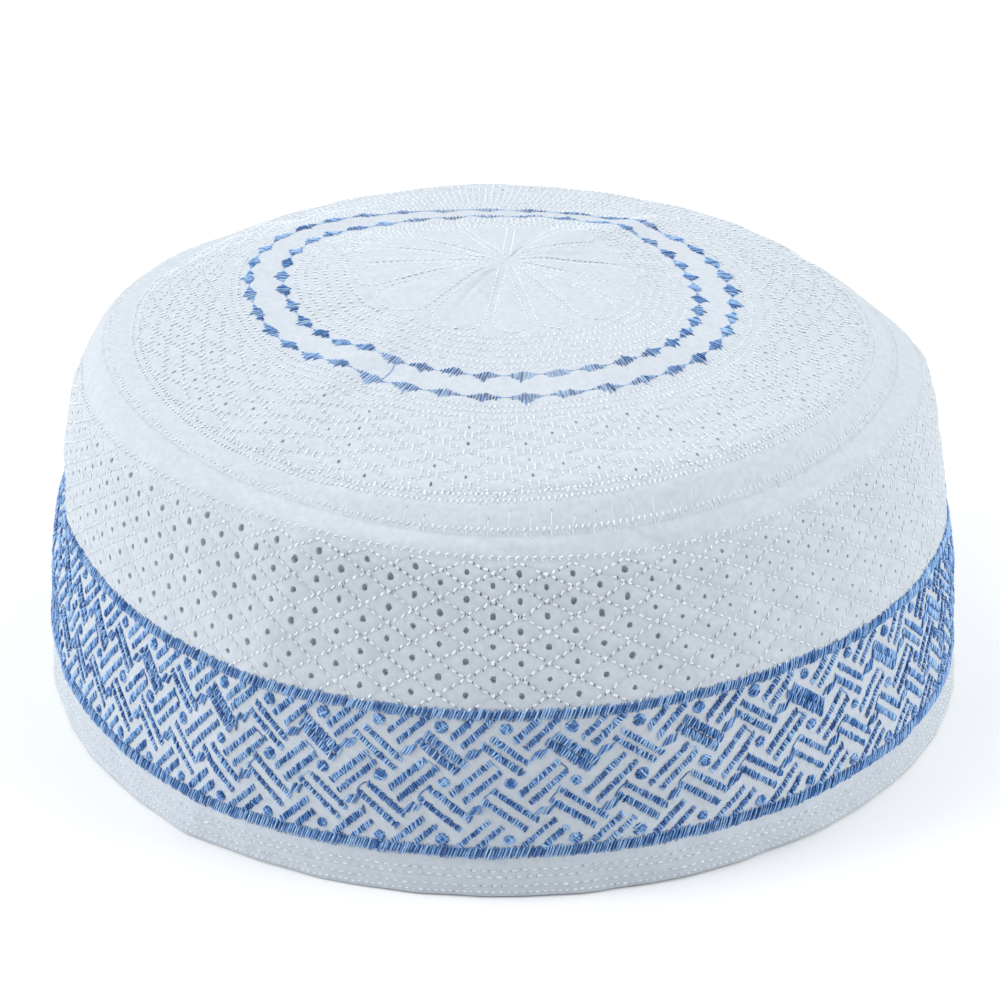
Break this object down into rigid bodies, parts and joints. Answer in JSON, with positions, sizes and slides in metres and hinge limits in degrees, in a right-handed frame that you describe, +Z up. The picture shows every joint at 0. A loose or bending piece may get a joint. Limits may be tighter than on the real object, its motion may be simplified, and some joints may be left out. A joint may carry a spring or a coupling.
{
  "type": "prayer cap",
  "caption": "Round brimless prayer cap of stiff quilted cloth with a domed top, a flat standing wall and an embroidered basket-weave border.",
  "frame": {"origin": "middle of the cap's bounding box, in the plane that the rim rests on", "axes": "+Z up through the crown, -Y towards the front seen in the picture, +X to the picture's right"},
  "size_m": [0.1796, 0.1805, 0.0823],
  "materials": {
    "white_cloth": "smooth bluish-white quilted cotton cloth",
    "blue_thread": "glossy blue satin-stitch thread"
  },
  "bodies": {
    "root": {"side_wall": "white_cloth", "crown_top": "white_cloth", "border_lower_line": "blue_thread", "border_upper_line": "blue_thread", "woven_border": "blue_thread", "crown_ring_outer": "blue_thread", "crown_ring_inner": "blue_thread"}
  },
  "joints": []
}
